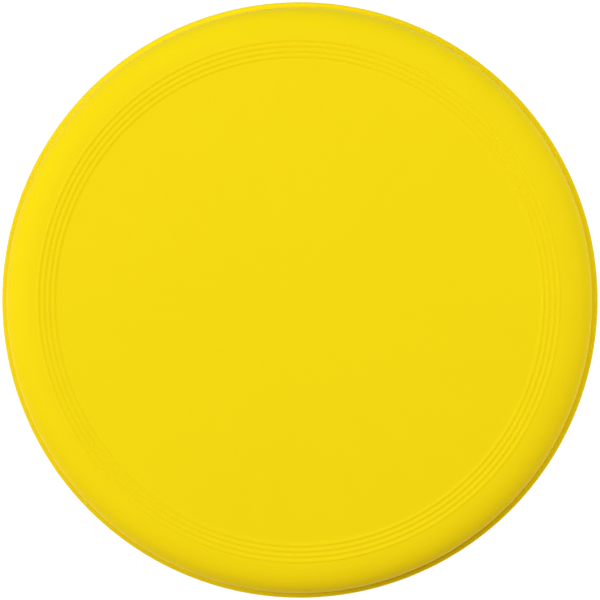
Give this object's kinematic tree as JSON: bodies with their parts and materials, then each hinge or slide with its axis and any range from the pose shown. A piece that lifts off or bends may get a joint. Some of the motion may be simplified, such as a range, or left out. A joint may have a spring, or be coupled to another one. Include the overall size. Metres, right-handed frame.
{
  "type": "flying disc",
  "caption": "Shallow round throwing disc with a flat plate, ribbed grip band, rounded shoulder, hollow underside and small foot flange.",
  "frame": {"origin": "on the disc's axis, in the plane of the foot that it rests on", "axes": "+Z along the disc's axis, from the hollow side towards the plate; X and Y are free because the disc is round"},
  "size_m": [0.23, 0.23, 0.022],
  "materials": {
    "yellow_plastic": "satin"
  },
  "bodies": {
    "root": {"disc": "yellow_plastic"}
  },
  "joints": []
}
